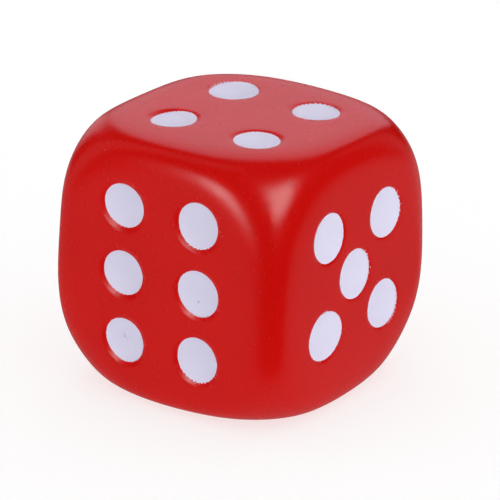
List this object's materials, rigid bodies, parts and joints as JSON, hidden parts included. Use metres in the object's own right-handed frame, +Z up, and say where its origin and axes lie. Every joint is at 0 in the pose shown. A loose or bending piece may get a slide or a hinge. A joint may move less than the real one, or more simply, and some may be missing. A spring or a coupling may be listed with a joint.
{
  "type": "giant yard die",
  "caption": "Large soft cube with full rounded edges and corners and dished, painted pips on every side, thrown by hand in lawn dice games.",
  "frame": {"origin": "centre of the bottom face, the one with three pips, so the die stands on Z = 0", "axes": "+Z up through the face with four pips, -Y out of the face with six pips, +X out of the face with five pips"},
  "size_m": [0.16, 0.16, 0.16],
  "materials": {
    "red_skin": "satin moulded skin with a fine orange-peel grain",
    "soft_foam": null,
    "pip_paint": "sprayed off-white paint, semi-matt, with a slightly ragged edge"
  },
  "bodies": {
    "root": {"foam_core": "soft_foam", "outer_skin": "red_skin", "six_pip_1": "pip_paint", "six_pip_2": "pip_paint", "six_pip_3": "pip_paint", "six_pip_4": "pip_paint", "six_pip_5": "pip_paint", "six_pip_6": "pip_paint", "five_pip_1": "pip_paint", "five_pip_2": "pip_paint", "five_pip_3": "pip_paint", "five_pip_4": "pip_paint", "five_pip_5": "pip_paint", "four_pip_1": "pip_paint", "four_pip_2": "pip_paint", "four_pip_3": "pip_paint", "four_pip_4": "pip_paint", "three_pip_1": "pip_paint", "three_pip_2": "pip_paint", "three_pip_3": "pip_paint", "two_pip_1": "pip_paint", "two_pip_2": "pip_paint", "one_pip_1": "pip_paint"}
  },
  "joints": []
}
